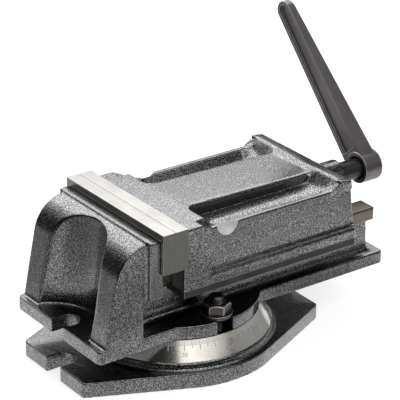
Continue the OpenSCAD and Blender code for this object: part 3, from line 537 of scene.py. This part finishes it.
def bolt_mesh():
    """Two T-headed clamp bolts with rolled M12 threads, flat at crest and root, and chamfered ends."""
    low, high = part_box("swivel_bolts")
    pitch, depth, chamfer, sides, rows_a_turn = 1.75 * MM, 1.05 * MM, 1.2 * MM, 40, 7
    neck = low.z + BOLT_HEAD_H
    rows = int((high.z - neck) / pitch * rows_a_turn)
    bolts = bmesh.new()
    for y in (-BOLT_CIRCLE, BOLT_CIRCLE):
        rings = []
        for row in range(rows + 1):
            z = neck + (high.z - neck) * row / rows
            ring = []
            for side in range(sides):
                turn = 2 * math.pi * side / sides
                wave = abs(2 * ((z / pitch - side / sides) % 1) - 1)
                radius = BOLT_R - depth * min(1.0, max(0.0, 1.25 * wave - 0.125))
                radius = min(radius, BOLT_R - chamfer + (high.z - z))
                ring.append(bolts.verts.new((radius * math.cos(turn), y + radius * math.sin(turn), z)))
            rings.append(ring)
        for below, above in zip(rings, rings[1:]):
            for side in range(sides):
                after = (side + 1) % sides
                bolts.faces.new((below[side], below[after], above[after], above[side]))
        bolts.faces.new(rings[-1])
        bolts.faces.new(list(reversed(rings[0])))
        head = bmesh.ops.create_cube(bolts, size=1.0)["verts"]
        bmesh.ops.scale(bolts, vec=(2 * BOLT_HEAD_HW, 2 * BOLT_HEAD_HW, BOLT_HEAD_H), verts=head)
        bmesh.ops.translate(bolts, vec=(0, y, low.z + BOLT_HEAD_H / 2), verts=head)
        edges = {edge for vert in head for edge in vert.link_edges}
        bmesh.ops.bevel(bolts, geom=list(edges), offset=0.6 * MM, segments=2, profile=0.5, affect="EDGES")
    return as_mesh(bolts, "swivel_bolts")


bolt_piece = show("swivel_bolts_threaded", bolt_mesh(), "body", "black_steel", black_oxide)
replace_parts(bolt_piece, "swivel_bolts")


# Degree ring
def on_ring(turn, down, out=0.0):
    """A point on the degree ring's cone, down from its top edge along the slope, and out from its face."""
    slope = Vector((RING_LOW[0] - RING_TOP[0], RING_LOW[1] - RING_TOP[1])).normalized()
    radius = RING_TOP[0] + slope.x * down - slope.y * out
    height = RING_TOP[1] + slope.y * down + slope.x * out
    angle = math.radians(turn)
    return Vector((radius * math.cos(angle), radius * math.sin(angle), height))


def ring_mesh():
    """The turned face of the degree ring, a thin shell on the base's cone. Its profile is in mm, down
    the slope and out from it."""
    steps = 240
    length = (Vector(RING_LOW) - Vector(RING_TOP)).length / MM
    upper = [(0.15, -0.4), (0.15, 0.0), (0.4, 0.03)]
    lower = [(length - 0.5, 0.03), (length - 0.2, 0.0), (length - 0.2, -0.4)]
    shell = bmesh.new()
    rings = []
    for i in range(steps):
        points = [on_ring(360 * i / steps, down * MM, out * MM) for down, out in upper + lower]
        rings.append([shell.verts.new(point) for point in points])
    for here, there in zip(rings, rings[1:] + rings[:1]):
        for j in range(len(here)):
            k = (j + 1) % len(here)
            shell.faces.new((here[j], here[k], there[k], there[j]))
    bmesh.ops.recalc_face_normals(shell, faces=shell.faces)
    mesh = as_mesh(shell, "degree_ring")
    even_normals(mesh)
    return mesh


def add_bar(target, corners, lift):
    """A thin closed bar: four corners of its foot and the offset to its face."""
    foot = [target.verts.new(c) for c in corners]
    top = [target.verts.new(c + lift) for c in corners]
    target.faces.new(list(reversed(foot)))
    target.faces.new(top)
    for i in range(4):
        j = (i + 1) % 4
        target.faces.new((foot[i], foot[j], top[j], top[i]))


def marks_mesh():
    """Graduations: a short mark at each degree, a longer one at five and the longest at ten."""
    start_down, raised = 0.5 * MM, 0.06 * MM
    marks = bmesh.new()
    for degree in range(360):
        turn = RING_ZERO + degree
        end_down = (8.0 if degree % 10 == 0 else 6.2 if degree % 5 == 0 else 4.6) * MM
        half = (0.28 if degree % 5 == 0 else 0.2) * MM
        left, right = (turn + side * math.degrees(half / RING_TOP[0]) for side in (-1, 1))
        outline = ((left, start_down), (left, end_down), (right, end_down), (right, start_down))
        lift = on_ring(turn, 1 * MM, raised) - on_ring(turn, 1 * MM)
        add_bar(marks, [on_ring(*corner) for corner in outline], lift)
    bmesh.ops.recalc_face_normals(marks, faces=marks.faces)
    return as_mesh(marks, "degree_marks")


def zero_line_mesh():
    """A pale bar on the milled notch of the flange's rim: a painted reflection, for the bright streak that
    the notch's end wall shows.
    """
    low, high, half, sunk, raised = 32.3 * MM, 39.6 * MM, 0.5 * MM, 0.2 * MM, 0.3 * MM
    turn = math.radians(NOTCH_GLINT_TURN)
    outward = Vector((math.cos(turn), math.sin(turn), 0))
    aside = Vector((-outward.y, outward.x, 0))
    foot = (FLANGE_R - NOTCH_DEPTH - sunk) * outward
    outline = ((-half, low), (half, low), (half, high), (-half, high))
    line = bmesh.new()
    add_bar(line, [foot + across * aside + Vector((0, 0, z)) for across, z in outline], raised * outward)
    bmesh.ops.recalc_face_normals(line, faces=line.faces)
    return as_mesh(line, "notch_glint")


def add_number(step):
    """One of the plain numbers on the ring, which count both ways from zero."""
    degree = NUMBER_STEP * step
    turn = RING_ZERO + degree
    text = bpy.data.curves.new("dial_number", "FONT")
    text.body = str(min(degree, 360 - degree))
    text.size = 4.4 * MM
    text.align_x = "CENTER"
    text.align_y = "CENTER"
    text.extrude = 0.03 * MM
    text.materials.append(engraving)
    number = add_object(f"dial_number_{step:02d}", text)
    outward = (on_ring(turn, NUMBER_DOWN, 1 * MM) - on_ring(turn, NUMBER_DOWN)).normalized()
    up = (on_ring(turn, NUMBER_DOWN - 1 * MM) - on_ring(turn, NUMBER_DOWN + 1 * MM)).normalized()
    number.matrix_world = Matrix((up.cross(outward), up, outward)).transposed().to_4x4()
    number.location = on_ring(turn, NUMBER_DOWN, 0.05 * MM)
    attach(number, "base")


show("degree_ring", ring_mesh(), "base", "ground_steel", ring_steel)
show("degree_marks", marks_mesh(), "base", "ground_steel", engraving)
# The pale bar at the flange's notch is a painted reflection
show("notch_glint", zero_line_mesh(), "body", "body_casting", pale_highlight_paint)
for step in range(360 // NUMBER_STEP):
    add_number(step)

# Camera at the photograph's viewing angle: its turn, height and roll in degrees
turn, height, roll = (math.radians(a) for a in (-36.155, 24.651, 0.567))
back = Vector((math.sin(turn) * math.cos(height), -math.cos(turn) * math.cos(height), math.sin(height)))
level = Vector((math.cos(turn), math.sin(turn), 0))
rise = back.cross(level)
right = math.cos(roll) * level + math.sin(roll) * rise
upward = math.cos(roll) * rise - math.sin(roll) * level
lens = bpy.data.cameras.new("camera")
lens.lens = 187.94
lens.sensor_width = 36
lens.shift_x = 0.0323
lens.shift_y = -0.0019
lens.clip_end = 20
camera = add_object("camera", lens)
camera.matrix_world = Matrix((right, upward, back)).transposed().to_4x4()
camera.location = (-0.8187, -1.1362, 0.7573)
scene.camera = camera


def softbox(name, turn, height, distance, size, glow):
    """A rectangular studio light that faces the vise: turn is from +X, glow is its brightness."""
    vise_middle = Vector((0.02, 0, 0.07))
    lamp = bpy.data.lights.new(name, "AREA")
    lamp.shape = "RECTANGLE"
    lamp.size, lamp.size_y = size
    lamp.energy = glow * math.pi * size[0] * size[1]
    panel = add_object(name, lamp)
    a, e = math.radians(turn), math.radians(height)
    out = Vector((math.cos(a) * math.cos(e), math.sin(a) * math.cos(e), math.sin(e)))
    panel.location = vise_middle + out * distance
    panel.rotation_mode = "QUATERNION"
    panel.rotation_quaternion = out.to_track_quat("Z", "Y")
    panel.visible_camera = False


softbox("back_panel", 66, 48, 1.5, (1.6, 1.18), 1.7)
softbox("key_panel", -85, 47, 1.3, (1.35, 0.8), 1.65)


def felt_card(name, colour, start_turn, end_turn, rows):
    """A curved felt card of the studio, which only reflections show: rows are its radii and heights."""
    steps, wide = 16, len(rows)
    points = []
    for i in range(steps + 1):
        a = math.radians(start_turn + (end_turn - start_turn) * i / steps)
        points += [Vector((radius * math.cos(a), radius * math.sin(a), z)) for radius, z in rows]
    faces = [
        (wide * i + j, wide * i + j + 1, wide * (i + 1) + j + 1, wide * (i + 1) + j)
        for i in range(steps)
        for j in range(wide - 1)
    ]
    mesh = bpy.data.meshes.new(name)
    mesh.from_pydata(points, [], faces)
    card = add_object(name, mesh)
    card.visible_camera = card.visible_diffuse = card.visible_shadow = card.visible_transmission = False
    felt, tree, shader, _ = start(name)
    feed(tree, shader, {"Base Color": linear(colour), "Roughness": 1.0})
    mesh.materials.append(felt)


def on_floor(inner, outer):
    """A card's rows that lie flat, just above the floor."""
    return [(inner, 0.1 * MM), (outer, 0.1 * MM)]


def upright(low, high):
    """A card's rows that stand at the studio's walls."""
    return [(STUDIO_R, low), (STUDIO_R, high)]


felt_card("left_floor_felt", "#cccccc", 95, 200, on_floor(0.26, STUDIO_R))
felt_card("near_floor_felt", "#4a4a4a", -160, 20, on_floor(0.46, STUDIO_R))
felt_card("apron_felt", "#dcdcdc", -130, -20, on_floor(0.135, 0.235))
felt_card("left_felt", "#585858", 116, 200, upright(0.0, STUDIO_H))
# A near-black card on the floor behind the base, seen only in reflections: painted shadow, for the vise's
# shadow on the floor there
felt_card("painted_shadow_felt", "#1c1c1c", 5, 95, on_floor(0.085, 0.2))
felt_card("dark_felt", "#2c2c2c", -160, -50, upright(0.0, STUDIO_H))
felt_card("grey_felt", "#ececec", -50, 12, upright(0.0, 1.35))
felt_card("right_felt", "#2c2c2c", -50, 12, upright(1.35, STUDIO_H))
felt_card("back_felt", "#2c2c2c", 12, 110, upright(0.0, 0.62))


def seen_or_mirrored(tree):
    """1 for rays from the camera, from gloss or through clear matter, and 0 for plain light."""
    path = put(tree, "LightPath").outputs
    seen = put(tree, "Math", {0: path["Is Camera Ray"], 1: path["Is Glossy Ray"]}, operation="MAXIMUM")
    seen = put(tree, "Math", {0: seen.outputs[0], 1: path["Is Transmission Ray"]}, operation="MAXIMUM")
    return seen.outputs[0]


# White surroundings: full white where seen or mirrored, dimmer as light
scene.world = bpy.data.worlds.new("surroundings")
scene.world.use_nodes = True
sky = scene.world.node_tree
strength = put(sky, "MapRange", {"Value": seen_or_mirrored(sky), "To Min": 0.35, "To Max": 1.0}).outputs[0]
feed(sky, sky.nodes["Background"], {"Color": linear("#ffffff"), "Strength": strength})

# Matt white paper as the floor under the base: it keeps the vise's soft shadow
reach, drop = 6.0, -0.2 * MM
floor_mesh = bpy.data.meshes.new("floor")
corners = [(-reach, -reach, drop), (reach, -reach, drop), (reach, reach, drop), (-reach, reach, drop)]
floor_mesh.from_pydata(corners, [], [(0, 1, 2, 3)])
add_object("floor", floor_mesh)
paper, tree, shader, _ = start("white_studio_paper")
lit = put(tree, "Math", {0: seen_or_mirrored(tree), 1: 0.72}, operation="MULTIPLY").outputs[0]
feed(tree, shader, {"Base Color": linear("#cfcfcf"), "Roughness": 0.9})
feed(tree, shader, {"Emission Color": linear("#ffffff"), "Emission Strength": lit})
floor_mesh.materials.append(paper)

scene.view_settings.view_transform = "Standard"
